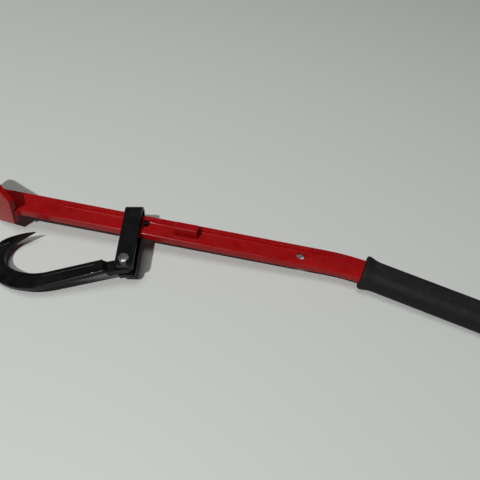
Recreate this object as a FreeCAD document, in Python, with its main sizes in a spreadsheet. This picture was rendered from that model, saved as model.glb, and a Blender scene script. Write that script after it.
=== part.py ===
import FreeCAD, Part
import math
import os
from FreeCAD import Placement, Rotation, Vector

# A felling lever lying on its side. The bar runs along X with the tongue at the low end
# and the grip at the high end. The origin is the middle of the hang hole in the bar.
# The bar's wide faces look up and down. The turning hook lies on the low Y side.

doc = FreeCAD.newDocument("FellingLever")
sheet = doc.addObject("Spreadsheet::Sheet", "Sizes")

SIZES = {
    # running and seating clearances
    "bolt_clearance": 0.1,
    "eye_clearance": 0.2,
    "pin_clearance": 0.05,
    "grip_clearance": 0.4,
    "cut_overrun": 4.0,
    # bar
    "bar_width": 34.0,
    "bar_thickness": 11.0,
    "bar_edge_round": 1.5,
    "bar_front_reach": 397.0,
    "bar_nose_blunt": 4.0,
    "web_thickness": 5.0,
    "panel_width": 18.0,
    "panel_draft_angle": 18.0,
    "panel_floor_round": 1.6,
    "panel_front_reach": 352.0,
    "panel_back_reach": 60.0,
    "panel_front_runout": 14.0,
    "panel_back_runout": 30.0,
    "hang_hole_radius": 6.0,
    "bend_start": 34.2,
    "bend_radius": 280.0,
    "bend_angle": 13.6,
    "shoulder_length": 10.0,
    "tail_width": 24.0,
    "tail_length": 185.0,
    # tongue plate
    "tongue_angle": 20.0,
    "tongue_thickness": 7.5,
    "tongue_length": 98.0,
    "tongue_foot_lead": 3.1,
    "tongue_back_lead": 2.2,
    "tongue_back_height": 25.5,
    "tongue_back_round": 7.0,
    "tongue_clip_angle": 48.0,
    "tongue_drop_rear": 20.4,
    "tongue_drop_front": 40.4,
    "tongue_flat_start": 60.0,
    "tongue_rise_rear": 48.0,
    "tongue_rise_front": 55.0,
    "tongue_rear_round": 22.0,
    "tongue_front_round": 10.0,
    "tongue_edge_bevel": 1.0,
    "tongue_taper_length": 46.0,
    "tongue_lip_thickness": 3.0,
    "tongue_edge_round": 0.8,
    "tongue_weld_leg": 3.6,
    "tongue_weld_setback": 2.0,
    # stops on the bar
    "lug_length": 32.0,
    "lug_width": 12.4,
    "lug_rise": 12.5,
    "lug_edge_round": 1.2,
    "lug_reach": 161.0,
    "lug_weld_leg": 3.0,
    "pin_radius": 3.5,
    "pin_bore_radius": 2.1,
    "pin_slot_width": 1.6,
    "pin_rise": 4.6,
    "pin_reach": 219.5,
    "pin_offset": 2.0,
    "pin_edge_bevel": 0.6,
    # strap
    "strap_width": 24.0,
    "strap_thickness": 5.0,
    "strap_gap": 17.5,
    "strap_leg": 84.3,
    "strap_end": 10.5,
    "strap_end_round": 5.0,
    "strap_edge_round": 0.8,
    "strap_yaw_angle": 9.2,
    "strap_pitch_angle": -5.0,
    "strap_roll_angle": 2.75,
    "strap_bolt_reach": 225.7,
    "strap_bolt_offset": 68.4,
    "strap_bolt_drop": 2.65,
    # bolt and nut
    "bolt_radius": 4.0,
    "bolt_across_flats": 13.0,
    "bolt_head_height": 5.3,
    "bolt_tail": 2.0,
    "bolt_end_bevel": 0.8,
    "hex_corner_cut": 0.8,
    "hex_corner_angle": 30.0,
    "nut_height": 6.4,
    "nut_collar_height": 1.6,
    "nut_collar_radius": 5.4,
    # hook
    "hook_thickness": 8.0,
    "hook_tang_thickness": 8.8,
    "hook_tang_width": 17.2,
    "hook_tang_angle": 14.0,
    "hook_neck_thickness": 4.6,
    "hook_offset": 6.0,
    "hook_offset_run": 4.0,
    "hook_set_angle": 6.7,
    "hook_eye_radius": 9.5,
    "hook_shoulder": 28.4,
    "hook_shoulder_inner": 3.3,
    "hook_shoulder_outer": 16.4,
    "hook_heel_slant": 4.75,
    "hook_heel_bevel": 1.2,
    "hook_rim": 4.0,
    "hook_web_thickness": 4.8,
    "hook_panel_setback": 13.0,
    "hook_inner_heading_angle": 191.7,
    "hook_inner_shank": 71.8,
    "hook_inner_sweep_radius": 74.0,
    "hook_inner_sweep_angle": 47.7,
    "hook_inner_bowl_radius": 27.5,
    "hook_inner_bowl_angle": 109.9,
    "hook_inner_point": 23.4,
    "hook_outer_heading_angle": 193.8,
    "hook_outer_shank": 70.3,
    "hook_outer_sweep_radius": 86.5,
    "hook_outer_sweep_angle": 68.8,
    "hook_outer_bowl_radius": 30.6,
    "hook_outer_bowl_angle": 91.1,
    "hook_outer_point_radius": 89.5,
    "hook_outer_point_angle": 28.2,
    "hook_panel_bowl_share": 0.84,
    "hook_edge_round": 1.2,
    "hook_floor_round": 1.2,
    "hook_tip_length": 36.0,
    "hook_tip_thickness": 2.5,
    # grip
    "grip_lap": 13.8,
    "grip_length": 216.0,
    "grip_width": 40.0,
    "grip_height": 32.0,
    "grip_corner_round": 13.0,
    "grip_collar_proud": 3.0,
    "grip_collar_length": 5.0,
    "grip_collar_slope": 11.0,
    "grip_collar_round": 2.4,
    "grip_crest_round": 14.0,
    "grip_flare_round": 40.0,
    "grip_end_proud": 1.6,
    "grip_end_length": 12.0,
    "grip_end_slope": 14.0,
    "grip_end_round": 6.0,
}

for row, (alias, number) in enumerate(SIZES.items(), start=1):
    sheet.set(f"A{row}", alias)
    sheet.set(f"B{row}", str(number))
    sheet.setAlias(f"B{row}", alias)
doc.recompute()


def size(alias):
    return float(sheet.get(alias))


def bind(feature, prop, expression):
    """Tie one size of a feature to the sheet. In the expression, names in braces are aliases."""
    feature.setExpression(prop, expression.replace("{", "Sizes.").replace("}", ""))


def new_body(label):
    body = doc.addObject("PartDesign::Body", label)
    body.Label = label
    return body


def new_sketch(body, role, name, shapes, offset=None):
    plane = next(item for item in body.Origin.OriginFeatures if item.Role == role)
    sketch = body.newObject("Sketcher::SketchObject", name)
    sketch.AttachmentSupport = [(plane, "")]
    sketch.MapMode = "FlatFace"
    if offset is not None:
        sketch.AttachmentOffset = offset
    sketch.addGeometry(shapes, False)
    return sketch


def new_pad(body, sketch, name, length, symmetric=False, reverse=False):
    pad = body.newObject("PartDesign::Pad", name)
    pad.Profile = sketch
    pad.SideType = "Symmetric" if symmetric else "One side"
    pad.Reversed = reverse
    bind(pad, "Length", length)
    body.Tip = pad
    doc.recompute()
    return pad


def new_pocket(body, sketch, name, length, symmetric=False, reverse=False):
    before = body.Shape.Volume
    pocket = body.newObject("PartDesign::Pocket", name)
    pocket.Profile = sketch
    pocket.SideType = "Symmetric" if symmetric else "One side"
    pocket.Reversed = reverse
    bind(pocket, "Length", length)
    body.Tip = pocket
    doc.recompute()
    if not pocket.Shape.Volume < before:
        raise RuntimeError(f"{body.Label}: {name} cut nothing")
    return pocket


def new_round(body, base, name, radius, wanted, kind="PartDesign::Fillet"):
    """Round or bevel the edges of base that wanted accepts."""
    edges = [f"Edge{number}" for number, edge in enumerate(base.Shape.Edges, start=1) if wanted(edge)]
    if not edges:
        raise RuntimeError(f"{body.Label}: {name} found no edge")
    feature = body.newObject(kind, name)
    feature.Base = (base, edges)
    bind(feature, "Radius" if kind == "PartDesign::Fillet" else "Size", radius)
    body.Tip = feature
    doc.recompute()
    return feature


def new_loft(body, kind, name, first, last):
    """Join two sketches by straight lines, as metal or as a cut."""
    loft = body.newObject(kind, name)
    loft.Profile = first
    loft.Sections = [last]
    loft.Ruled = True
    body.Tip = loft
    doc.recompute()
    return loft


def new_mirror(body, features, name, role):
    mirror = body.newObject("PartDesign::Mirrored", name)
    mirror.Originals = features
    mirror.MirrorPlane = (next(item for item in body.Origin.OriginFeatures if item.Role == role), [""])
    body.Tip = mirror
    doc.recompute()
    return mirror


class Pen:
    """Draws lines and tangent arcs one after another, knowing its place and heading."""

    def __init__(self, x, y, heading=0.0):
        self.place = Vector(x, y, 0)
        self.heading = heading
        self.drawn = []

    def direction(self, side=0.0):
        angle = math.radians(self.heading + side)
        return Vector(math.cos(angle), math.sin(angle), 0)

    def move(self, distance, side=0.0):
        self.place = self.place + self.direction(side) * distance
        return self

    def line_to(self, x, y):
        target = Vector(x, y, 0)
        self.drawn.append(Part.LineSegment(self.place, target))
        self.place = target
        return self

    def run(self, length):
        target = self.place + self.direction() * length
        return self.line_to(target.x, target.y)

    def turn(self, radius, degrees):
        """Turn along an arc, to the left where degrees is positive."""
        side = math.copysign(90, degrees)
        centre = self.place + self.direction(side) * radius
        spoke = self.place - centre
        middle = centre + Rotation(Vector(0, 0, 1), degrees / 2).multVec(spoke)
        end = centre + Rotation(Vector(0, 0, 1), degrees).multVec(spoke)
        self.drawn.append(Part.Arc(self.place, middle, end))
        self.place = end
        self.heading += degrees
        return self


def rectangle(left, right, low, high):
    pen = Pen(left, low)
    pen.line_to(right, low).line_to(right, high).line_to(left, high).line_to(left, low)
    return pen.drawn


def polygon(points):
    pen = Pen(*points[-1])
    for point in points:
        pen.line_to(*point)
    return pen.drawn


def circle(radius, x=0.0, y=0.0):
    return Part.Circle(Vector(x, y, 0), Vector(0, 0, 1), radius)


def slot(left, right, width):
    """A slot along X with round ends. left and right are its outermost points."""
    half = width / 2
    pen = Pen(left + half, -half)
    pen.run(right - left - width).turn(half, 180).run(right - left - width).turn(half, 180)
    return pen.drawn


def rounded_rectangle(width, height, radius):
    pen = Pen(radius - width / 2, -height / 2)
    for side in (width, height, width, height):
        pen.run(side - 2 * radius).turn(radius, 90)
    return pen.drawn


def hexagon(across_flats):
    corner = across_flats / math.sqrt(3)
    turns = [math.radians(60 * step) for step in range(6)]
    return polygon([(corner * math.cos(turn), corner * math.sin(turn)) for turn in turns])


# Frames that several pieces share

tongue_turn = math.radians(size("tongue_angle"))
tongue_frame = Placement(
    Vector(-size("bar_front_reach"), -size("bar_width") / 2, 0),
    Rotation(Vector(0, 0, 1), 180 - size("tongue_angle")),
)
strap_frame = Placement(
    Vector(-size("strap_bolt_reach"), -size("strap_bolt_offset"), -size("strap_bolt_drop")),
    Rotation(size("strap_yaw_angle"), size("strap_pitch_angle"), size("strap_roll_angle")),
)
bend = Pen(size("bend_start"), 0)
bend.turn(size("bend_radius"), -size("bend_angle"))
grip_frame = Placement(
    bend.place - bend.direction() * size("grip_lap"),
    Rotation(Vector(0, 0, 1), -size("bend_angle")),
)


def lever_bar():
    """The forged bar: a flat section with a sunk panel on each wide face, bent near the grip."""
    body = new_body("lever_bar")
    half = size("bar_width") / 2
    tail = size("tail_width") / 2
    radius = size("bend_radius")
    turn = size("bend_angle")
    straight = size("bar_front_reach") + size("bend_start")
    nose = (size("bar_width") - size("bar_nose_blunt")) / math.tan(tongue_turn)

    near = Pen(-size("bar_front_reach"), -half)
    near.run(straight).turn(radius - half, -turn).run(size("shoulder_length"))
    step_side = half - tail
    near.line_to(*(near.place + near.direction(90) * step_side)[:2])
    near.run(size("tail_length"))
    near.line_to(*(near.place + near.direction(90) * size("tail_width"))[:2])
    near.heading += 180
    near.run(size("tail_length"))
    near.line_to(*(near.place + near.direction(-90) * step_side)[:2])
    near.run(size("shoulder_length")).turn(radius + half, turn)
    near.line_to(-size("bar_front_reach") - nose, half)
    near.line_to(-size("bar_front_reach") - nose, half - size("bar_nose_blunt"))
    near.line_to(-size("bar_front_reach"), -half)
    outline = new_sketch(body, "XY_Plane", "BarOutline", near.drawn)
    blank = new_pad(body, outline, "BarBlank", "{bar_thickness}", symmetric=True)

    def long_side_edge(edge):
        middle = edge.valueAt((edge.FirstParameter + edge.LastParameter) / 2)
        on_face = abs(abs(middle.z) - size("bar_thickness") / 2) < size("bar_edge_round") / 8
        along = abs(edge.tangentAt(edge.FirstParameter).y) < math.sin(tongue_turn / 2)
        before_grip = middle.x < grip_frame.Base.x
        return on_face and along and before_grip and edge.Length > 2 * size("bar_nose_blunt")

    new_round(body, blank, "BarEdges", "{bar_edge_round}", long_side_edge)

    # The panel is a channel with drafted sides and rounded floor corners. Its ends run out
    # in a slope, which is metal put back into the channel.
    front = -size("panel_front_reach")
    back = size("panel_back_reach")
    low = size("web_thickness") / 2
    high = size("bar_thickness") / 2
    draft = math.radians(size("panel_draft_angle"))
    steep = 90 - size("panel_draft_angle")
    corner = size("panel_floor_round") * math.tan(math.radians(steep) / 2)
    floor_half = size("panel_width") / 2 - (high - low) * math.tan(draft)
    wall = (high - low + size("cut_overrun")) / math.cos(draft) - corner
    channel = Pen(corner - floor_half, low)
    channel.run(2 * (floor_half - corner)).turn(size("panel_floor_round"), steep).run(wall)
    channel.line_to(-channel.place.x, channel.place.y)
    channel.heading = -steep
    channel.run(wall).turn(size("panel_floor_round"), steep)
    end = Placement(Vector(0, 0, front), Rotation())
    section = new_sketch(body, "YZ_Plane", "PanelSection", channel.drawn, end)
    reach = "{panel_front_reach} + {panel_back_reach}"
    features = [new_pocket(body, section, "PanelChannel", reach, reverse=True)]
    for name, at, foot in (
        ("FrontRunout", front, front + size("panel_front_runout")),
        ("BackRunout", back, back - size("panel_back_runout")),
    ):
        triangle = polygon([(at, low), (foot, low), (at, high)])
        slope = new_sketch(body, "XZ_Plane", f"{name}Slope", triangle)
        features.append(new_pad(body, slope, name, "{panel_width}", symmetric=True))
    new_mirror(body, features, "PanelBelow", "XY_Plane")

    holes = new_sketch(body, "XY_Plane", "Holes", [
        circle(size("hang_hole_radius")),
        circle(size("pin_radius") + size("pin_clearance"), -size("pin_reach"), size("pin_offset")),
    ])
    new_pocket(body, holes, "HolesThrough", "{bar_thickness}", symmetric=True)
    return body


def felling_tongue():
    """The plate that goes into the cut. It stands on edge across the bar's oblique end."""
    body = new_body("felling_tongue")
    length = size("tongue_length")
    rise = math.degrees(math.atan2(size("tongue_rise_front") - size("tongue_rise_rear"), length))
    rear = size("tongue_rear_round")
    front = size("tongue_front_round")

    def corner(radius, turn):
        return radius * math.tan(math.radians(abs(turn)) / 2)

    # The outline starts at the rear foot. It goes up the leaning rear edge, over the clipped
    # rear corner, forward along the top, down the front and back along the lower edge.
    foot = -size("tongue_drop_rear")
    low = -size("tongue_drop_front")
    back = -size("tongue_back_lead")
    back_height = size("tongue_back_height")
    lean = math.degrees(math.atan2(size("tongue_foot_lead") - back, back_height - foot))
    back_turn = size("tongue_clip_angle") - 90 - lean
    rear_turn = rise - size("tongue_clip_angle")
    front_turn = -90 - rise
    clip = math.radians(size("tongue_clip_angle"))
    top_slope = math.tan(math.radians(rise))
    top_at_back = size("tongue_rise_rear") + back * top_slope
    clip_length = (top_at_back - back_height) / (math.sin(clip) - math.cos(clip) * top_slope)
    back_corner = corner(size("tongue_back_round"), back_turn)

    pen = Pen(size("tongue_foot_lead"), foot, 90 + lean)
    pen.run((back_height - foot) / math.cos(math.radians(lean)) - back_corner)
    pen.turn(size("tongue_back_round"), back_turn)
    pen.run(clip_length - back_corner - corner(rear, rear_turn))
    pen.turn(rear, rear_turn)
    pen.run((length - pen.place.x) / math.cos(math.radians(rise)) - corner(front, front_turn))
    pen.turn(front, front_turn)
    pen.line_to(length, low + front)
    pen.turn(front, -90)
    pen.line_to(size("tongue_flat_start"), low)
    pen.line_to(size("tongue_foot_lead"), foot)

    # The XZ plane faces -Y, so the pad is reversed to lie on the +Y side.
    sketch = new_sketch(body, "XZ_Plane", "TongueOutline", pen.drawn)
    new_pad(body, sketch, "TongueBlank", "{tongue_thickness}", reverse=True)

    over = size("cut_overrun")
    taper_start = length - size("tongue_taper_length")
    slope = (size("tongue_thickness") - size("tongue_lip_thickness")) / size("tongue_taper_length")
    taper = polygon([
        (taper_start, size("tongue_thickness")),
        (length + over, size("tongue_lip_thickness") - slope * over),
        (length + over, size("tongue_thickness") + over),
        (taper_start, size("tongue_thickness") + over),
    ])
    taper_sketch = new_sketch(body, "XY_Plane", "TaperOutline", taper)
    height = "2 * ({tongue_rise_front} + {tongue_drop_front})"
    new_pocket(body, taper_sketch, "Taper", height, symmetric=True)

    # The rear edge is bevelled towards the near face, along its lean.
    bevel_slope = size("tongue_edge_bevel") / size("tongue_thickness")
    heel = polygon([
        (back - over, 0),
        (back, 0),
        (back + size("tongue_edge_bevel") + over * bevel_slope, size("tongue_thickness") + over),
        (back - over, size("tongue_thickness") + over),
    ])
    leaning = Rotation(Vector(0, 1, 0), -lean)
    hinge_point = Vector(back, 0, back_height)
    offset = Placement(hinge_point - leaning.multVec(Vector(back, 0, 0)), leaning)
    heel_sketch = new_sketch(body, "XY_Plane", "HeelOutline", heel, offset)
    bevelled = new_pocket(body, heel_sketch, "HeelBevel", f"2 * {height}", symmetric=True)

    def near_face_edge(edge):
        ends = [vertex.Point.y for vertex in edge.Vertexes]
        return min(ends) > size("tongue_lip_thickness") / 2

    new_round(body, bevelled, "NearFaceEdges", "{tongue_edge_round}", near_face_edge)
    body.Placement = tongue_frame
    return body


def weld_section(leg, seat, side):
    """A fillet weld's section: two legs along the seat and the wall, and a slightly full face."""
    bulge = leg * (1 + math.sqrt(2)) / 4
    corner = Vector(0, seat, 0)
    wall_end = Vector(0, seat + side * leg, 0)
    seat_end = Vector(-leg, seat, 0)
    crown = Vector(-bulge, seat + side * bulge, 0)
    return [
        Part.LineSegment(corner, wall_end),
        Part.Arc(wall_end, crown, seat_end),
        Part.LineSegment(seat_end, corner),
    ]


def tongue_weld():
    """Three beads that join the tongue to the bar: over it, under it and up its near corner."""
    body = new_body("tongue_weld")
    body.AllowCompound = True
    leg = size("tongue_weld_leg")
    seat = size("bar_thickness") / 2
    start = size("tongue_weld_setback") + leg / math.tan(tongue_turn)
    reach = "({bar_width} - {bar_nose_blunt}) / sin({tongue_angle} * 1deg)"
    setback = "({tongue_weld_setback} + {tongue_weld_leg} / tan({tongue_angle} * 1deg))"
    for side, name in ((1, "Over"), (-1, "Under")):
        place = Placement(Vector(0, 0, start), Rotation())
        section = weld_section(leg, side * seat, side)
        sketch = new_sketch(body, "YZ_Plane", f"{name}Section", section, place)
        new_pad(body, sketch, f"{name}Bead", f"{reach} - {setback} - {{tongue_weld_setback}}")
    corner = Vector(0, 0, 0)
    on_bar = Vector(-math.cos(tongue_turn), -math.sin(tongue_turn), 0) * leg
    on_heel = Vector(size("tongue_edge_bevel"), size("tongue_thickness"), 0).normalize() * leg
    crown = (on_bar + on_heel).normalize() * leg * math.cos(tongue_turn)
    bead = [
        Part.LineSegment(corner, on_bar),
        Part.Arc(on_bar, crown, on_heel),
        Part.LineSegment(on_heel, corner),
    ]
    sketch = new_sketch(body, "XY_Plane", "HeelSection", bead)
    new_pad(body, sketch, "HeelBead", "{bar_thickness} - 2 * {bar_edge_round}", symmetric=True)
    body.Placement = tongue_frame
    return body


def stop_lug():
    """The block on the bar that stands between the strap and the hang hole."""
    body = new_body("stop_lug")
    middle = -size("lug_reach")
    reach = size("lug_length") / 2
    half = size("lug_width") / 2
    foot = Placement(Vector(0, 0, size("web_thickness") / 2), Rotation())
    outline = rectangle(middle - reach, middle + reach, -half, half)
    sketch = new_sketch(body, "XY_Plane", "LugOutline", outline, foot)
    block = new_pad(body, sketch, "LugBlock", "({bar_thickness} - {web_thickness}) / 2 + {lug_rise}")

    def not_foot(edge):
        return max(vertex.Point.z for vertex in edge.Vertexes) > size("web_thickness")

    new_round(body, block, "LugEdges", "{lug_edge_round}", not_foot)
    return body


def lug_weld():
    """A bead at each end of the lug, on the floor of the panel."""
    body = new_body("lug_weld")
    body.AllowCompound = True
    leg = size("lug_weld_leg")
    seat = size("web_thickness") / 2
    for side, name in ((-1, "Front"), (1, "Back")):
        wall = -size("lug_reach") + side * size("lug_length") / 2
        corner = Vector(wall, seat, 0)
        wall_end = Vector(wall, seat + leg, 0)
        seat_end = Vector(wall + side * leg, seat, 0)
        bulge = leg * (1 + math.sqrt(2)) / 4
        crown = Vector(wall + side * (leg - bulge), seat + leg - bulge, 0)
        section = [
            Part.LineSegment(corner, wall_end),
            Part.Arc(wall_end, crown, seat_end),
            Part.LineSegment(seat_end, corner),
        ]
        sketch = new_sketch(body, "XZ_Plane", f"{name}Section", section)
        new_pad(body, sketch, f"{name}Bead", "{lug_width} - 2 * {lug_edge_round}", symmetric=True)
    return body


def stop_pin():
    """A slotted spring pin pressed through the bar's web beside the strap."""
    body = new_body("stop_pin")
    height = "{bar_thickness} + 2 * {pin_rise}"
    ring = [circle(size("pin_radius")), circle(size("pin_bore_radius"))]
    tube = new_pad(body, new_sketch(body, "XY_Plane", "PinRing", ring), "PinTube", height, symmetric=True)

    def outer_rim(edge):
        return edge.Curve.TypeId == "Part::GeomCircle" and edge.Curve.Radius > size("pin_bore_radius")

    new_round(body, tube, "PinEnds", "{pin_edge_bevel}", outer_rim, "PartDesign::Chamfer")
    half = size("pin_slot_width") / 2
    gap = rectangle(0, size("pin_radius") + size("cut_overrun"), -half, half)
    new_pocket(body, new_sketch(body, "XY_Plane", "PinSlot", gap), "PinGap", height, symmetric=True)
    body.Placement = Placement(Vector(-size("pin_reach"), size("pin_offset"), 0), Rotation())
    return body


def hook_strap():
    """The U strap round the bar. Its frame has the bolt as Z and the closed end at high Y."""
    body = new_body("hook_strap")
    inner = size("strap_gap") / 2
    outer = inner + size("strap_thickness")
    pen = Pen(-size("strap_end"), -outer)
    leg = size("strap_end") + size("strap_leg")
    pen.run(leg).turn(outer, 180).run(leg).line_to(-size("strap_end"), inner)
    pen.heading = 0
    pen.run(leg).turn(inner, -180).run(leg).line_to(-size("strap_end"), -outer)
    section = new_sketch(body, "YZ_Plane", "StrapSection", pen.drawn)
    blank = new_pad(body, section, "StrapBlank", "{strap_width}", symmetric=True)

    def end_corner(edge):
        upright = abs(edge.Vertexes[0].Point.z - edge.Vertexes[-1].Point.z) > size("strap_thickness") / 2
        at_end = all(vertex.Point.y < 0 for vertex in edge.Vertexes)
        straight = edge.Curve.TypeId == "Part::GeomLine"
        return upright and at_end and straight

    ends = new_round(body, blank, "StrapEnds", "{strap_end_round}", end_corner)

    def side_edge(edge):
        middle = edge.valueAt((edge.FirstParameter + edge.LastParameter) / 2)
        on_side = abs(abs(middle.x) - size("strap_width") / 2) < size("strap_edge_round") / 8
        rim = edge.Length > 2 * size("strap_thickness")
        return on_side and rim

    new_round(body, ends, "StrapEdges", "{strap_edge_round}", side_edge)
    bore = new_sketch(body, "XY_Plane", "BoltBore", [circle(size("bolt_radius") + size("bolt_clearance"))])
    new_pocket(body, bore, "BoltHoles", "2 * ({strap_gap} + {strap_thickness})", symmetric=True)
    body.Placement = strap_frame
    return body


def cut_hex_corners(body, top, name, upward=1):
    """Cut the corners of a hexagon's face at height top with a shallow cone."""
    flat = size("bolt_across_flats") / 2
    corner = size("bolt_across_flats") / math.sqrt(3) + size("cut_overrun")
    inset = flat - size("hex_corner_cut") / 2
    depth = (corner - inset) * math.tan(math.radians(size("hex_corner_angle")))
    section = polygon([(inset, top), (corner, top - upward * depth), (corner, top)])
    sketch = new_sketch(body, "XZ_Plane", name, section)
    groove = body.newObject("PartDesign::Groove", f"{name}Cut")
    groove.Profile = sketch
    groove.ReferenceAxis = (sketch, ["V_Axis"])
    body.Tip = groove
    doc.recompute()


def hook_bolt():
    """The hexagon bolt through the strap's ends and the hook's eye."""
    body = new_body("hook_bolt")
    seat = size("strap_gap") / 2 + size("strap_thickness")
    place = Placement(Vector(0, 0, seat), Rotation())
    head_sketch = new_sketch(body, "XY_Plane", "HeadOutline", hexagon(size("bolt_across_flats")), place)
    new_pad(body, head_sketch, "Head", "{bolt_head_height}")
    cut_hex_corners(body, seat + size("bolt_head_height"), "HeadCorners")
    shank_sketch = new_sketch(body, "XY_Plane", "ShankSection", [circle(size("bolt_radius"))], place)
    through = "{strap_gap} + 2 * {strap_thickness} + {nut_height} + {nut_collar_height} + {bolt_tail}"
    shank = new_pad(body, shank_sketch, "Shank", through, reverse=True)

    def tail_rim(edge):
        return edge.Curve.TypeId == "Part::GeomCircle" and edge.Curve.Center.z < -seat

    new_round(body, shank, "ShankEnd", "{bolt_end_bevel}", tail_rim, "PartDesign::Chamfer")
    body.Placement = strap_frame
    return body


def lock_nut():
    """The locking nut under the strap, with its collar downwards."""
    body = new_body("lock_nut")
    seat = -size("strap_gap") / 2 - size("strap_thickness")
    place = Placement(Vector(0, 0, seat - size("nut_height")), Rotation())
    outline = new_sketch(body, "XY_Plane", "NutOutline", hexagon(size("bolt_across_flats")), place)
    new_pad(body, outline, "NutBlock", "{nut_height}")
    cut_hex_corners(body, seat - size("nut_height"), "NutCorners", upward=-1)
    collar = new_sketch(body, "XY_Plane", "CollarSection", [circle(size("nut_collar_radius"))], place)
    new_pad(body, collar, "NutCollar", "{nut_collar_height}", reverse=True)
    hole = [circle(size("bolt_radius") + size("bolt_clearance"))]
    bore = new_sketch(body, "XY_Plane", "NutBore", hole, place)
    new_pocket(body, bore, "NutThread", "4 * {nut_height}", symmetric=True)
    body.Placement = strap_frame
    return body


def hook_edge(side, inset, lead=0.0, bowl_share=1.0):
    """One edge of the hook, from the shoulder round the bowl, moved into the metal by inset."""
    name = "inner" if side > 0 else "outer"
    start = size("hook_shoulder_inner") if side > 0 else -size("hook_shoulder_outer")
    slant = 0 if side > 0 else size("hook_heel_slant")
    pen = Pen(-size("hook_shoulder"), start, size(f"hook_{name}_heading_angle"))
    pen.move(inset, 90 * side)
    pen.move(lead - slant)
    grow = inset * side
    pen.run(size(f"hook_{name}_shank") + slant - lead)
    pen.turn(size(f"hook_{name}_sweep_radius") + grow, -size(f"hook_{name}_sweep_angle"))
    pen.turn(size(f"hook_{name}_bowl_radius") + grow, -size(f"hook_{name}_bowl_angle") * bowl_share)
    return pen


def cant_hook():
    """The forged turning hook. The blade is drawn flat and its shank runs to low X.

    The tang lies flat across the bolt. At the heel the metal steps up to the blade, which
    is set down towards its point.
    """
    body = new_body("cant_hook")
    inner = hook_edge(1, 0)
    outer = hook_edge(-1, 0)
    shoulder = Vector(-size("hook_shoulder"), 0, 0)
    set_down = Rotation(Vector(0, 1, 0), -size("hook_set_angle"))
    blade_frame = Placement(Vector(0, 0, size("hook_offset")), set_down, shoulder)
    tang_turn = Placement(Vector(), Rotation(Vector(0, 0, 1), size("hook_tang_angle")))
    tang_frame = blade_frame.inverse() * tang_turn
    inner_heel = inner.drawn[0].StartPoint
    outer_heel = outer.drawn[0].StartPoint
    heel = Part.LineSegment(inner_heel, outer_heel)
    root_of_point = Part.LineSegment(inner.place, outer.place)
    bowl = inner.drawn + outer.drawn + [root_of_point, heel]
    outline = new_sketch(body, "XY_Plane", "HookOutline", bowl)
    blank = new_pad(body, outline, "HookBlank", "{hook_thickness}", symmetric=True)
    heel_line = outer_heel - inner_heel
    across_heel = Vector(heel_line.y, -heel_line.x, 0).normalize()

    def at_heel(edge):
        gaps = [(vertex.Point - inner_heel).dot(across_heel) for vertex in edge.Vertexes]
        return max(gaps) - min(gaps) + abs(gaps[0]) < size("hook_heel_bevel") / 8

    bevelled = new_round(body, blank, "HeelBevel", "{hook_heel_bevel}", at_heel, "PartDesign::Chamfer")

    def rim_edge(edge):
        middle = edge.valueAt((edge.FirstParameter + edge.LastParameter) / 2)
        on_face = abs(abs(middle.z) - size("hook_thickness") / 2) < size("hook_edge_round") / 8
        return on_face and edge.Length > heel_line.Length + size("hook_rim")

    new_round(body, bevelled, "HookEdges", "{hook_edge_round}", rim_edge)

    # The point carries on from the bowl, with crisp edges.
    inner.drawn, outer.drawn = [], []
    inner.run(size("hook_inner_point"))
    outer.turn(size("hook_outer_point_radius"), -size("hook_outer_point_angle"))
    point = inner.drawn + outer.drawn + [root_of_point, Part.LineSegment(inner.place, outer.place)]
    point_sketch = new_sketch(body, "XY_Plane", "PointOutline", point)
    new_pad(body, point_sketch, "PointBlank", "{hook_thickness}", symmetric=True)

    # The step between tang and blade is drawn from the side. It ends below the heel's bevel.
    angle = math.radians(size("hook_tang_angle"))
    heel_reach = size("hook_shoulder") * math.cos(angle) - size("hook_shoulder_inner") * math.sin(angle)
    foot = size("hook_offset_run") - heel_reach
    half = size("hook_tang_thickness") / 2
    rise = size("hook_offset")
    neck = size("hook_neck_thickness") / 2
    root = -heel_reach - size("hook_rim")
    fall = size("hook_rim") * math.tan(math.radians(size("hook_set_angle")))
    step = polygon([
        (foot, half),
        (-heel_reach, rise + neck),
        (root, rise + neck - fall),
        (root, rise - neck - fall),
        (-heel_reach, rise - neck),
        (foot, -half),
    ])
    upright = Placement(Vector(), Rotation(Vector(1, 0, 0), 90))
    step_sketch = new_sketch(body, "XY_Plane", "StepOutline", step, tang_frame * upright)
    new_pad(body, step_sketch, "Step", "{hook_tang_width}", symmetric=True)

    # The tang runs back from the step to the eye.
    eye = size("hook_eye_radius")
    side = size("hook_tang_width") / 2
    touch = -math.sqrt(eye ** 2 - side ** 2)
    tang = Pen(foot, -side)
    tang.line_to(touch, -side)
    tang.drawn.append(Part.Arc(tang.place, Vector(eye, 0, 0), Vector(touch, side, 0)))
    tang.place = Vector(touch, side, 0)
    tang.line_to(foot, side).line_to(foot, -side)
    tang_sketch = new_sketch(body, "XY_Plane", "TangOutline", tang.drawn, tang_frame)
    new_pad(body, tang_sketch, "Tang", "{hook_tang_thickness}", symmetric=True)

    # The sunk flanks
    rim = size("hook_rim")
    setback = size("hook_panel_setback")
    share = size("hook_panel_bowl_share")
    panel_inner = hook_edge(1, rim, setback, share)
    panel_outer = hook_edge(-1, rim, setback, share)
    inner_start = panel_inner.drawn[0].StartPoint
    outer_start = panel_outer.drawn[0].StartPoint
    across = inner_start - outer_start
    middle = (inner_start + outer_start) * (1 / 2)
    crown = middle + Vector(across.y, -across.x, 0) * (1 / 2)
    panel = panel_inner.drawn + panel_outer.drawn
    panel.append(Part.Arc(inner_start, crown, outer_start))
    panel.append(Part.LineSegment(panel_inner.place, panel_outer.place))
    top = Placement(Vector(0, 0, size("hook_thickness") / 2), Rotation())
    panel_sketch = new_sketch(body, "XY_Plane", "FlankOutline", panel, top)
    flank = new_pocket(body, panel_sketch, "FlankTop", "({hook_thickness} - {hook_web_thickness}) / 2")
    both = new_mirror(body, [flank], "FlankBottom", "XY_Plane")

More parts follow.
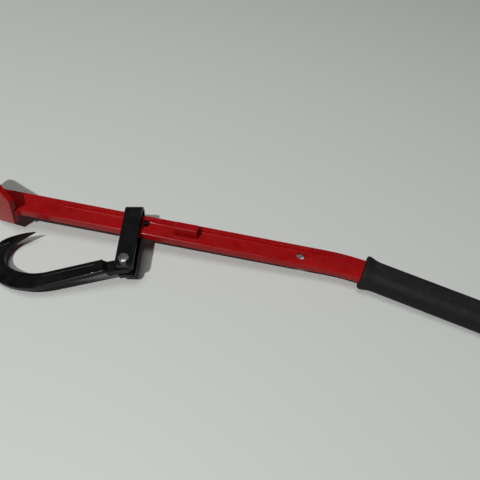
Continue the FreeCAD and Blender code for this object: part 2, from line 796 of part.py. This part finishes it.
    def floor_edge(edge):
        middle = edge.valueAt((edge.FirstParameter + edge.LastParameter) / 2)
        on_floor = abs(abs(middle.z) - size("hook_web_thickness") / 2) < size("hook_floor_round") / 8
        return on_floor and middle.x < -size("hook_shoulder") - rim

    new_round(body, both, "FlankFloorRound", "{hook_floor_round}", floor_edge)

    # The point is bevelled from above and below.
    heading = (inner.heading + outer.heading) / 2
    tip = (inner.place + outer.place) * (1 / 2)
    full = size("hook_thickness") / 2
    thin = size("hook_tip_thickness") / 2
    length = size("hook_tip_length")
    over = size("cut_overrun")
    slope = (full - thin) / length
    wedges = []
    for side in (1, -1):
        wedges += polygon([
            (-length, side * full),
            (over, side * (thin - slope * over)),
            (over, side * (full + over)),
            (-length, side * (full + over)),
        ])
    offset = Placement(Vector(tip.x, 0, -tip.y), Rotation(Vector(0, 1, 0), heading))
    wedge_sketch = new_sketch(body, "XZ_Plane", "PointBevel", wedges, offset)
    new_pocket(body, wedge_sketch, "Point", "2 * {hook_outer_bowl_radius}", symmetric=True)

    hole = [circle(size("bolt_radius") + size("eye_clearance"))]
    bore = new_sketch(body, "XY_Plane", "EyeBore", hole, tang_frame)
    new_pocket(body, bore, "Eye", "{hook_tang_thickness} + {hook_offset}", symmetric=True)
    body.Placement = strap_frame * blade_frame
    return body


def grip_section(proud):
    width = size("grip_width") + 2 * proud
    height = size("grip_height") + 2 * proud
    return rounded_rectangle(width, height, size("grip_corner_round") + proud)


def grip_slope(body, name, start, end, start_proud, end_proud):
    """A tapering stretch of the grip between two of its sections."""
    sketches = []
    for step, (at, proud) in enumerate(((start, start_proud), (end, end_proud))):
        place = Placement(Vector(0, 0, at), Rotation())
        sketches.append(new_sketch(body, "YZ_Plane", f"{name}Section{step}", grip_section(proud), place))
    return new_loft(body, "PartDesign::AdditiveLoft", name, *sketches)


def grip_sleeve():
    """The rubber grip over the bar's tail. Its frame has the front face at the origin."""
    body = new_body("grip_sleeve")
    length = size("grip_length")
    collar = size("grip_collar_length")
    proud = size("grip_collar_proud")
    end_proud = size("grip_end_proud")
    end_start = length - size("grip_end_length")
    main = new_sketch(body, "YZ_Plane", "GripSection", grip_section(0))
    new_pad(body, main, "GripTube", "{grip_length}")
    collar_sketch = new_sketch(body, "YZ_Plane", "CollarSection", grip_section(proud))
    new_pad(body, collar_sketch, "Collar", "{grip_collar_length}")
    grip_slope(body, "CollarSlope", collar, collar + size("grip_collar_slope"), proud, 0)
    grip_slope(body, "EndSlope", end_start - size("grip_end_slope"), end_start, 0, end_proud)
    end_place = Placement(Vector(0, 0, end_start), Rotation())
    end_sketch = new_sketch(body, "YZ_Plane", "EndSection", grip_section(end_proud), end_place)
    solid = new_pad(body, end_sketch, "EndKnob", "{grip_end_length}")

    def at(edge, place):
        return all(abs(vertex.Point.x - place) < size("grip_clearance") / 8 for vertex in edge.Vertexes)

    front = new_round(body, solid, "CollarRound", "{grip_collar_round}", lambda edge: at(edge, 0))
    crest = new_round(body, front, "CrestRound", "{grip_crest_round}", lambda edge: at(edge, collar))
    flare_end = collar + size("grip_collar_slope")
    flare = new_round(body, crest, "FlareRound", "{grip_flare_round}", lambda edge: at(edge, flare_end))
    new_round(body, flare, "EndRound", "{grip_end_round}", lambda edge: at(edge, length))

    gap = size("grip_clearance")
    thick = size("bar_thickness") / 2 + gap
    wide = size("bar_width") / 2 + gap
    tail = size("tail_width") / 2 + gap
    socket = new_sketch(body, "YZ_Plane", "SocketOutline", rectangle(-wide, wide, -thick, thick))
    new_pocket(
        body, socket, "Socket", "{grip_lap} + {shoulder_length} + {grip_clearance}", reverse=True
    )
    tail_sketch = new_sketch(body, "YZ_Plane", "TailOutline", rectangle(-tail, tail, -thick, thick))
    new_pocket(
        body, tail_sketch, "TailBore",
        "{grip_lap} + {shoulder_length} + {tail_length} + {grip_clearance}", reverse=True,
    )
    body.Placement = grip_frame
    return body


pieces = [
    lever_bar(),
    felling_tongue(),
    tongue_weld(),
    stop_lug(),
    lug_weld(),
    stop_pin(),
    hook_strap(),
    hook_bolt(),
    lock_nut(),
    cant_hook(),
    grip_sleeve(),
]
doc.recompute()

for item in doc.Objects:
    if "Invalid" in item.State or "Error" in item.State:
        raise RuntimeError(f"{item.Name} failed: {item.State}")
for piece in pieces:
    if piece.Shape.isNull() or not piece.Shape.isValid() or not piece.Shape.Solids:
        raise RuntimeError(f"{piece.Label} has no valid solid")

os.makedirs("parts", exist_ok=True)
for piece in pieces:
    piece.Shape.exportStep(f"parts/{piece.Label}.step")
    box = piece.Shape.BoundBox
    print(
        f"{piece.Label}: {len(piece.Shape.Solids)} solid(s), {piece.Shape.Volume:.0f} cubic mm, "
        f"x {box.XMin:.1f} to {box.XMax:.1f}, y {box.YMin:.1f} to {box.YMax:.1f}, "
        f"z {box.ZMin:.1f} to {box.ZMax:.1f}"
    )
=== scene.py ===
"""A felling lever lying on a pale floor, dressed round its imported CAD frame."""

import logging
import math
from dataclasses import dataclass, field
from enum import Enum

import bmesh
import bpy
from mathutils import Matrix, Vector


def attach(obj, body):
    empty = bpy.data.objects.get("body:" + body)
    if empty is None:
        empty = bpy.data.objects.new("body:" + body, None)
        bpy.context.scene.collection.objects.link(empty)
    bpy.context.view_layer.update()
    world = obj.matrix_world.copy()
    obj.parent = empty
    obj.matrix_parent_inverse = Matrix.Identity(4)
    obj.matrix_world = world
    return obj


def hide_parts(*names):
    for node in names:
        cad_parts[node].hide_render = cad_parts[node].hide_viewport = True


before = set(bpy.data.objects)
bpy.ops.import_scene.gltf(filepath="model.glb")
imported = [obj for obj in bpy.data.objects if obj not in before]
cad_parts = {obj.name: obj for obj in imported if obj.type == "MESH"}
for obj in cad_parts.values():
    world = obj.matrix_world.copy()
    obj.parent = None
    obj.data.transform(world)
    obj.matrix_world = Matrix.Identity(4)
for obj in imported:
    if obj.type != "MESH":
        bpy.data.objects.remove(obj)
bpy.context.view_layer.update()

log = logging.getLogger("felling_lever")

MM = 0.001
MERGE_WITHIN = 0.002 * MM

Colour = tuple[float, float, float, float]
Triple = tuple[float, float, float]
Span = tuple[float, float]


class Body(str, Enum):
    """The rigid bodies of the lever, by the names that the frame gives them."""

    LEVER = "lever"
    STRAP = "strap"
    HOOK = "hook"


class Slot(str, Enum):
    """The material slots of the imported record."""

    RED = "red_paint"
    COATING = "black_coating"
    FORGING = "black_forging"
    ZINC = "zinc_steel"
    RUBBER = "black_rubber"


class Socket(str, Enum):
    """The kinds of socket on the node groups, by Blender's names for them."""

    VALUE = "NodeSocketFloat"
    VECTOR = "NodeSocketVector"


class Wiring:
    """Adds nodes to one node tree and joins them up."""

    def __init__(self, tree: bpy.types.NodeTree) -> None:
        """Keep the tree.

        Args:
            tree: The node tree of a material or of a node group.
        """
        self.tree = tree

    def add(
        self, kind: str, links: dict[str | int, object] | None = None, **settings: object
    ) -> bpy.types.Node:
        """Add a node, set its properties and feed its inputs.

        Args:
            kind: The node's type name.
            links: Input name or number to a value or to another node's output.
            settings: Node properties to set.

        Returns:
            The new node.
        """
        node = self.tree.nodes.new(kind)
        for name, value in settings.items():
            setattr(node, name, value)
        for name, value in (links or {}).items():
            if isinstance(value, bpy.types.NodeSocket):
                self.tree.links.new(value, node.inputs[name])
            else:
                node.inputs[name].default_value = value
        return node

    def mix(self, factor: object, first: object, second: object) -> bpy.types.NodeSocket:
        """Mix two colours.

        Args:
            factor: The share of the second colour, a value or a socket.
            first: A colour or a socket.
            second: A colour or a socket.

        Returns:
            The mixed colour.
        """
        inputs = {0: factor, 6: first, 7: second}
        return self.add("ShaderNodeMix", inputs, data_type="RGBA").outputs[2]

    def maths(self, operation: str, first: object, second: object = 0.0) -> bpy.types.NodeSocket:
        """Combine two values.

        Args:
            operation: The Math node's operation.
            first: A value or a socket.
            second: A value or a socket.

        Returns:
            The result.
        """
        return self.add("ShaderNodeMath", {0: first, 1: second}, operation=operation).outputs[0]

    def spread(
        self, value: bpy.types.NodeSocket, start: Span, end: Span = (0.0, 1.0)
    ) -> bpy.types.NodeSocket:
        """Map a value from one span to another, held at both ends.

        Args:
            value: The value to map.
            start: The span that the value is read against.
            end: The span that comes out.

        Returns:
            The mapped value.
        """
        inputs = {
            "Value": value,
            "From Min": start[0],
            "From Max": start[1],
            "To Min": end[0],
            "To Max": end[1],
        }
        return self.add("ShaderNodeMapRange", inputs).outputs[0]


def noise(
    wiring: Wiring, place: bpy.types.NodeSocket, scale: object, detail: float, roughness: float = 0.55
) -> bpy.types.NodeSocket:
    """Add a noise pattern and return its value.

    Args:
        wiring: Where to add it.
        place: The coordinates.
        scale: Features to a unit of the coordinates, a value or a socket.
        detail: Octaves.
        roughness: How strong the fine octaves are.

    Returns:
        The noise value.
    """
    inputs = {"Vector": place, "Scale": scale, "Detail": detail, "Roughness": roughness}
    return wiring.add("ShaderNodeTexNoise", inputs).outputs["Fac"]


def new_group(
    name: str, inputs: dict[str, Socket], outputs: dict[str, Socket]
) -> tuple[bpy.types.NodeTree, Wiring, bpy.types.Node, bpy.types.Node]:
    """Make an empty node group with named sockets.

    Args:
        name: The group's name.
        inputs: Socket name to its kind.
        outputs: Socket name to its kind.

    Returns:
        The group, its wiring, its input node and its output node.
    """
    group = bpy.data.node_groups.new(name, "ShaderNodeTree")
    for label, kind in inputs.items():
        group.interface.new_socket(label, in_out="INPUT", socket_type=kind.value)
    for label, kind in outputs.items():
        group.interface.new_socket(label, in_out="OUTPUT", socket_type=kind.value)
    wiring = Wiring(group)
    return group, wiring, wiring.add("NodeGroupInput"), wiring.add("NodeGroupOutput")


def mottle_group() -> bpy.types.NodeTree:
    """Broad and fine unevenness of a coat, as a value about 0.5 and a height.

    Returns:
        The node group.
    """
    broad_share = 0.6
    grain_share = 0.3
    inputs = {
        "Place": Socket.VECTOR,
        "Broad": Socket.VALUE,
        "Fine": Socket.VALUE,
        "Grain": Socket.VALUE,
    }
    outputs = {"Shade": Socket.VALUE, "Height": Socket.VALUE}
    group, wiring, start, end = new_group("coat_mottle", inputs, outputs)
    place = start.outputs["Place"]
    broad = noise(wiring, place, start.outputs["Broad"], detail=3.0)
    fine = noise(wiring, place, start.outputs["Fine"], detail=3.0)
    grain = noise(wiring, place, start.outputs["Grain"], detail=2.0)
    broad_part = wiring.maths("MULTIPLY", broad, broad_share)
    shade = wiring.maths("ADD", broad_part, wiring.maths("MULTIPLY", fine, 1 - broad_share))
    fine_part = wiring.maths("MULTIPLY", fine, 1 - grain_share)
    height = wiring.maths("ADD", fine_part, wiring.maths("MULTIPLY", grain, grain_share))
    wiring.tree.links.new(shade, end.inputs["Shade"])
    wiring.tree.links.new(height, end.inputs["Height"])
    return group


def scratch_group() -> bpy.types.NodeTree:
    """Thin handling scratches that run one way, as a mask from 0 to the amount.

    Returns:
        The node group.
    """
    line_span = (0.66, 0.74)
    patch_span = (0.5, 0.68)
    patch_scale = 22.0
    inputs = {"Place": Socket.VECTOR, "Stretch": Socket.VECTOR, "Amount": Socket.VALUE}
    group, wiring, start, end = new_group("handling_scratches", inputs, {"Mask": Socket.VALUE})
    place = start.outputs["Place"]
    stretch = {0: place, 1: start.outputs["Stretch"]}
    stretched = wiring.add("ShaderNodeVectorMath", stretch, operation="MULTIPLY").outputs[0]
    lines = wiring.spread(noise(wiring, stretched, scale=1.0, detail=2.0, roughness=0.7), line_span)
    patches = wiring.spread(noise(wiring, place, patch_scale, detail=2.0), patch_span)
    mask = wiring.maths("MULTIPLY", wiring.maths("MULTIPLY", lines, patches), start.outputs["Amount"])
    wiring.tree.links.new(mask, end.inputs["Mask"])
    return group


def dust_group() -> bpy.types.NodeTree:
    """Dust that settles on what faces up, as a mask from 0 to the amount.

    Returns:
        The node group.
    """
    facing_span = (0.3, 1.0)
    cloud_span = (0.42, 0.72)
    cloud_scale = 60.0
    inputs = {"Place": Socket.VECTOR, "Amount": Socket.VALUE}
    group, wiring, start, end = new_group("settled_dust", inputs, {"Mask": Socket.VALUE})
    normal = wiring.add("ShaderNodeNewGeometry").outputs["Normal"]
    up = wiring.add("ShaderNodeSeparateXYZ", {0: normal}).outputs["Z"]
    facing = wiring.spread(up, facing_span)
    cloud = noise(wiring, start.outputs["Place"], cloud_scale, detail=5.0, roughness=0.7)
    patchy = wiring.spread(cloud, cloud_span)
    mask = wiring.maths("MULTIPLY", wiring.maths("MULTIPLY", facing, patchy), start.outputs["Amount"])
    wiring.tree.links.new(mask, end.inputs["Mask"])
    return group


@dataclass
class Workshop:
    """The effects that the finishes share, each built once.

    Attributes:
        mottle: The unevenness of a coat.
        scratches: The handling scratches.
        dust: The settled dust.
    """

    mottle: bpy.types.NodeTree = field(default_factory=mottle_group)
    scratches: bpy.types.NodeTree = field(default_factory=scratch_group)
    dust: bpy.types.NodeTree = field(default_factory=dust_group)


@dataclass(frozen=True)
class Finish:
    """A coat whose colour, gloss and surface vary over the piece.

    Attributes:
        name: The material's name.
        dark: The darkest colour of the coat.
        light: Its lightest colour.
        worn: The colour in a scratch.
        roughness: The roughness at dark and at light.
        bump: The strength of the fine unevenness.
        bump_depth: Its depth in metres.
        fine: Fine patches to a metre.
        grain: Grains to a metre.
        scratches: The strength of the scratches.
        dust: The strength of the dust.
        broad: Broad patches to a metre.
        scratch_run: The scratches' frequencies along X, Y and Z, low along their run.
        dust_colour: The colour of the dust.
        shade_span: The span of the mottle that runs from dark to light.
        wear_roughness: What a full mask of dust or scratches would add to the roughness.
        metallic: How far the coat is bare metal.
        coat: The strength of the clear coat.
        coat_roughness: The clear coat's roughness.
        specular: The shader's specular level.
    """

    name: str
    dark: Colour
    light: Colour
    worn: Colour
    roughness: Span
    bump: float
    bump_depth: float
    fine: float
    grain: float
    scratches: float
    dust: float
    broad: float = 12.0
    scratch_run: Triple = (8.0, 260.0, 260.0)
    dust_colour: Colour = (0.42, 0.40, 0.38, 1.0)
    shade_span: Span = (0.35, 0.65)
    wear_roughness: float = 0.4
    metallic: float = 0.0
    coat: float = 0.0
    coat_roughness: float = 0.15
    specular: float = 0.5

    def build(self, shop: Workshop) -> bpy.types.Material:
        """Make the material.

        Args:
            shop: The shared effects.

        Returns:
            The material.
        """
        material = bpy.data.materials.new(self.name)
        material.use_nodes = True
        tree = material.node_tree
        wiring = Wiring(tree)
        shader = tree.nodes["Principled BSDF"]
        place = wiring.add("ShaderNodeTexCoord").outputs["Object"]
        sizes = {"Place": place, "Broad": self.broad, "Fine": self.fine, "Grain": self.grain}
        mottle = wiring.add("ShaderNodeGroup", sizes, node_tree=shop.mottle)
        run = {"Place": place, "Stretch": self.scratch_run, "Amount": self.scratches}
        scratch = wiring.add("ShaderNodeGroup", run, node_tree=shop.scratches).outputs["Mask"]
        amount = {"Place": place, "Amount": self.dust}
        dust = wiring.add("ShaderNodeGroup", amount, node_tree=shop.dust).outputs["Mask"]
        shade = wiring.spread(mottle.outputs["Shade"], self.shade_span)
        colour = wiring.mix(shade, self.dark, self.light)
        colour = wiring.mix(scratch, colour, self.worn)
        colour = wiring.mix(dust, colour, self.dust_colour)
        gloss = wiring.spread(mottle.outputs["Shade"], self.shade_span, self.roughness)
        wear = wiring.maths("MULTIPLY", wiring.maths("ADD", dust, scratch), self.wear_roughness)
        gloss = wiring.maths("ADD", gloss, wear)
        unevenness = {
            "Height": mottle.outputs["Height"],
            "Strength": self.bump,
            "Distance": self.bump_depth,
        }
        bump = wiring.add("ShaderNodeBump", unevenness)
        tree.links.new(colour, shader.inputs["Base Color"])
        tree.links.new(gloss, shader.inputs["Roughness"])
        tree.links.new(bump.outputs["Normal"], shader.inputs["Normal"])
        shader.inputs["Metallic"].default_value = self.metallic
        shader.inputs["Coat Weight"].default_value = self.coat
        shader.inputs["Coat Roughness"].default_value = self.coat_roughness
        shader.inputs["Specular IOR Level"].default_value = self.specular
        return material


@dataclass(frozen=True)
class Finishes:
    """Every finish on the lever.

    Attributes:
        red: The gloss paint of the bar, the tongue, the lug and the welds.
        coating: The black of the strap and the pin.
        forging: The black of the hook.
        zinc: The plating of the bolt and the nut.
        rubber: The grip.
    """

    red: Finish = Finish(
        "red_gloss_paint",
        dark=(0.21, 0.0028, 0.0035, 1),
        light=(0.30, 0.005, 0.0055, 1),
        worn=(0.42, 0.06, 0.05, 1),
        roughness=(0.20, 0.30),
        coat=0.14,
        coat_roughness=0.04,
        specular=0.10,
        bump=0.22,
        bump_depth=0.0003,
        broad=9.0,
        fine=90.0,
        grain=700.0,
        scratches=0.12,
        dust=0.012,
    )
    coating: Finish = Finish(
        "strap_black_coating",
        dark=(0.0022, 0.0026, 0.0024, 1),
        light=(0.0045, 0.0052, 0.0047, 1),
        worn=(0.035, 0.035, 0.035, 1),
        roughness=(0.30, 0.44),
        specular=0.16,
        bump=0.3,
        bump_depth=0.0002,
        fine=300.0,
        grain=1800.0,
        scratches=0.2,
        scratch_run=(260.0, 8.0, 260.0),
        dust=0.01,
    )
    forging: Finish = Finish(
        "hook_black_forging",
        dark=(0.0022, 0.0025, 0.0024, 1),
        light=(0.0048, 0.0052, 0.0050, 1),
        worn=(0.04, 0.04, 0.04, 1),
        roughness=(0.22, 0.38),
        specular=0.12,
        coat=0.08,
        coat_roughness=0.08,
        bump=0.45,
        bump_depth=0.0005,
        broad=30.0,
        fine=160.0,
        grain=900.0,
        scratches=0.25,
        dust=0.012,
    )
    zinc: Finish = Finish(
        "zinc_plating",
        dark=(0.20, 0.21, 0.21, 1),
        light=(0.40, 0.41, 0.40, 1),
        worn=(0.62, 0.63, 0.62, 1),
        roughness=(0.20, 0.36),
        metallic=0.85,
        bump=0.35,
        bump_depth=0.0002,
        broad=160.0,
        fine=500.0,
        grain=2500.0,
        scratches=0.4,
        scratch_run=(300.0, 300.0, 60.0),
        dust=0.03,
    )
    rubber: Finish = Finish(
        "moulded_black_rubber",
        dark=(0.0062, 0.0068, 0.0064, 1),
        light=(0.0095, 0.0102, 0.0096, 1),
        worn=(0.03, 0.03, 0.03, 1),
        roughness=(0.60, 0.76),
        specular=0.15,
        bump=0.35,
        bump_depth=0.0002,
        broad=14.0,
        fine=420.0,
        grain=2600.0,
        scratches=0.15,
        scratch_run=(10.0, 240.0, 240.0),
        dust=0.02,
    )


def merged_copy(node: str) -> bmesh.types.BMesh:
    """Copy a CAD node's mesh and join its loose triangles.

    Args:
        node: The CAD node.

    Returns:
        The copy, to be shaped further.
    """
    mesh = bmesh.new()
    mesh.from_mesh(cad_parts[node].data)
    bmesh.ops.remove_doubles(mesh, verts=mesh.verts, dist=MERGE_WITHIN)
    if not mesh.faces:
        raise ValueError(f"the node {node} has no faces")
    return mesh


def finish_piece(
    mesh: bmesh.types.BMesh,
    name: str,
    material: bpy.types.Material,
    body: Body,
    smooth_angle: float,
) -> bpy.types.Object:
    """Turn a bmesh into a dressed piece that rides on its body.

    Args:
        mesh: The shape, in the row frame.
        name: The piece's name.
        material: Its finish.
        body: The body that it rides on.
        smooth_angle: Edges sharper than this, in degrees, stay sharp.

    Returns:
        The new object.
    """
    limit = math.radians(smooth_angle)
    for edge in mesh.edges:
        edge.smooth = len(edge.link_faces) == 2 and edge.calc_face_angle(math.pi) < limit
    for face in mesh.faces:
        face.smooth = True
    data = bpy.data.meshes.new(name)
    mesh.to_mesh(data)
    mesh.free()
    data.materials.append(material)
    piece = bpy.data.objects.new(name, data)
    bpy.context.scene.collection.objects.link(piece)
    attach(piece, body.value)
    log.info("%s rides on %s", name, body.value)
    return piece


def dress(
    node: str, material: bpy.types.Material, body: Body, smooth_angle: float = 32.0
) -> None:
    """Stand a merged, smooth-shaded copy in for a CAD node.

    Args:
        node: The CAD node.
        material: Its finish.
        body: The body that it rides on.
        smooth_angle: Edges sharper than this, in degrees, stay sharp.
    """
    piece = finish_piece(merged_copy(node), f"{node}_dressed", material, body, smooth_angle)
    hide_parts(node)


@dataclass
class Lever:
    """The bar with all that is fixed to it except the grip.

    Attributes:
        paint: The finish of the red parts.
        pin_coat: The finish of the pin.
        tongue_turn: The tongue's angle to the bar, in degrees.
        ripple_pitch: From one ripple of a weld to the next, in millimetres.
        ripple_depth: How deep the ripples are cut, in millimetres.
        ripple_step: The spacing of the edge loops laid across a bead, in millimetres.
        bead_smooth: Edges of a bead sharper than this, in degrees, stay sharp.
    """

    paint: bpy.types.Material
    pin_coat: bpy.types.Material
    tongue_turn: float = 20.0
    ripple_pitch: float = 2.6
    ripple_depth: float = 0.45
    ripple_step: float = 0.65
    bead_smooth: float = 50.0

    def weld(self, node: str, run: Vector) -> None:
        """Stand a rippled bead in for a plain one.

        Args:
            node: The CAD node.
            run: The direction that the bead was laid in.
        """
        mesh = merged_copy(node)
        step = self.ripple_step * MM
        places = [vertex.co.dot(run) for vertex in mesh.verts]
        for number in range(math.ceil(min(places) / step), math.ceil(max(places) / step)):
            parts = [*mesh.verts, *mesh.edges, *mesh.faces]
            bmesh.ops.bisect_plane(mesh, geom=parts, plane_co=run * number * step, plane_no=run)
        mesh.normal_update()
        for vertex in mesh.verts:
            phase = vertex.co.dot(run) / (self.ripple_pitch * MM) * 2 * math.pi
            share = (1 + math.cos(phase)) / 2
            vertex.co -= vertex.normal * share * self.ripple_depth * MM
        name = f"{node}_rippled"
        piece = finish_piece(mesh, name, self.paint, Body.LEVER, self.bead_smooth)
        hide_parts(node)

    def build(self) -> None:
        """Dress the bar, the tongue, the welds, the lug and the pin."""
        for node in ("lever_bar", "felling_tongue", "stop_lug"):
            dress(node, self.paint, Body.LEVER)
        turn = math.radians(self.tongue_turn)
        self.weld("tongue_weld", Vector((-math.cos(turn), math.sin(turn), 0)))
        self.weld("lug_weld", Vector((0, 1, 0)))
        dress("stop_pin", self.pin_coat, Body.LEVER)


@dataclass
class Strap:
    """The strap with its bolt and nut.

    Attributes:
        coat: The finish of the strap.
        plating: The finish of the bolt and the nut.
    """

    coat: bpy.types.Material
    plating: bpy.types.Material

    def build(self) -> None:
        """Dress the strap and its fasteners."""
        dress("hook_strap", self.coat, Body.STRAP)
        for node in ("hook_bolt", "lock_nut"):
            dress(node, self.plating, Body.STRAP)


@dataclass
class Hook:
    """The forged turning hook.

    Attributes:
        scale: The finish of the forging.
    """

    scale: bpy.types.Material

    def build(self) -> None:
        """Dress the hook."""
        dress("cant_hook", self.scale, Body.HOOK)


@dataclass
class Grip:
    """The rubber grip.

    Attributes:
        rubber: The finish of the grip.
        smooth_angle: Edges sharper than this, in degrees, stay sharp.
    """

    rubber: bpy.types.Material
    smooth_angle: float = 40.0

    def build(self) -> None:
        """Dress the grip."""
        dress("grip_sleeve", self.rubber, Body.LEVER, self.smooth_angle)


@dataclass(frozen=True)
class Lamp:
    """A round soft lamp that looks at the origin.

    Attributes:
        name: The lamp's name.
        place: Where it hangs, in millimetres.
        size: Its diameter, in millimetres.
        power: Its power, in watts.
    """

    name: str
    place: Triple
    size: float
    power: float

    def hang(self) -> None:
        """Add the lamp to the scene."""
        light = bpy.data.lights.new(self.name, "AREA")
        light.shape = "DISK"
        light.size = self.size * MM
        light.energy = self.power
        lamp = bpy.data.objects.new(self.name, light)
        lamp.location = Vector(self.place) * MM
        lamp.rotation_euler = lamp.location.to_track_quat("Z", "Y").to_euler()
        bpy.context.scene.collection.objects.link(lamp)


@dataclass(frozen=True)
class Studio:
    """The floor, the lamps and the camera. Lengths are in millimetres and angles in degrees.

    Attributes:
        floor_tilt: How far the floor falls towards the tongue in the lever's frame.
        floor_drop: From the frame's origin down to the floor.
        floor_reach: Half the floor's side.
        floor_colour: The floor's colour.
        floor_roughness: The floor's roughness.
        camera_place: Where the camera stood.
        camera_turn: Its rotation about X, Y and Z.
        lens: The focal length.
        near_clip: The nearest distance that the camera sees.
        key: The lamp that throws the shadows.
        broad: The large lamp that softens them.
        room_colour: The colour of the room's own light.
        room_power: Its strength.
    """

    floor_tilt: float = 1.763
    floor_drop: float = 26.5
    floor_reach: float = 6000.0
    floor_colour: Colour = (0.52, 0.535, 0.515, 1.0)
    floor_roughness: float = 0.55
    camera_place: Triple = (-64.91, -428.07, 511.75)
    camera_turn: Triple = (40.254, -5.648, 9.46)
    lens: float = 36.0
    near_clip: float = 10.0
    key: Lamp = Lamp("key", (-1250.0, -2290.0, 3440.0), 120.0, 146.0)
    broad: Lamp = Lamp("broad", (-900.0, -500.0, 3900.0), 2000.0, 50.0)
    room_colour: Colour = (0.95, 0.97, 1.0, 1.0)
    room_power: float = 0.05

    def floor(self) -> None:
        """Lay the floor that the lever rests on, tilted as the lever's own frame is."""
        mesh = bmesh.new()
        bmesh.ops.create_grid(mesh, x_segments=1, y_segments=1, size=self.floor_reach * MM)
        turn = Matrix.Rotation(math.radians(-self.floor_tilt), 4, "Y")
        normal = turn @ Vector((0, 0, 1))
        drop = Matrix.Translation(-normal * self.floor_drop * MM)
        bmesh.ops.transform(mesh, matrix=drop @ turn, verts=mesh.verts)
        data = bpy.data.meshes.new("floor")
        mesh.to_mesh(data)
        mesh.free()
        floor = bpy.data.objects.new("floor", data)
        bpy.context.scene.collection.objects.link(floor)
        material = bpy.data.materials.new("pale_floor")
        material.use_nodes = True
        shader = material.node_tree.nodes["Principled BSDF"]
        shader.inputs["Base Color"].default_value = self.floor_colour
        shader.inputs["Roughness"].default_value = self.floor_roughness
        floor.data.materials.append(material)

    def lamps(self) -> None:
        """Hang both lamps and set the room's own light."""
        self.key.hang()
        self.broad.hang()
        world = bpy.data.worlds.new("room")
        world.use_nodes = True
        background = world.node_tree.nodes["Background"]
        background.inputs["Color"].default_value = self.room_colour
        background.inputs["Strength"].default_value = self.room_power
        bpy.context.scene.world = world

    def camera(self) -> None:
        """Set the camera as the photograph was taken."""
        data = bpy.data.cameras.new("camera")
        data.lens = self.lens
        data.sensor_fit = "HORIZONTAL"
        data.clip_start = self.near_clip * MM
        camera = bpy.data.objects.new("camera", data)
        camera.location = Vector(self.camera_place) * MM
        camera.rotation_euler = [math.radians(angle) for angle in self.camera_turn]
        bpy.context.scene.collection.objects.link(camera)
        bpy.context.scene.camera = camera

    def build(self) -> None:
        """Set up the whole studio."""
        self.floor()
        self.lamps()
        self.camera()
        bpy.context.scene.view_settings.view_transform = "Standard"


def main() -> None:
    """Build the lever's sub-assemblies in order, then the studio."""
    logging.basicConfig(level=logging.INFO)
    shop = Workshop()
    coats = Finishes()
    red = coats.red.build(shop)
    coating = coats.coating.build(shop)
    forging = coats.forging.build(shop)
    zinc = coats.zinc.build(shop)
    rubber = coats.rubber.build(shop)
    Lever(red, coating).build()
    Strap(coating, zinc).build()
    Hook(forging).build()
    Grip(rubber).build()
    Studio().build()


if __name__ == "__main__":
    main()
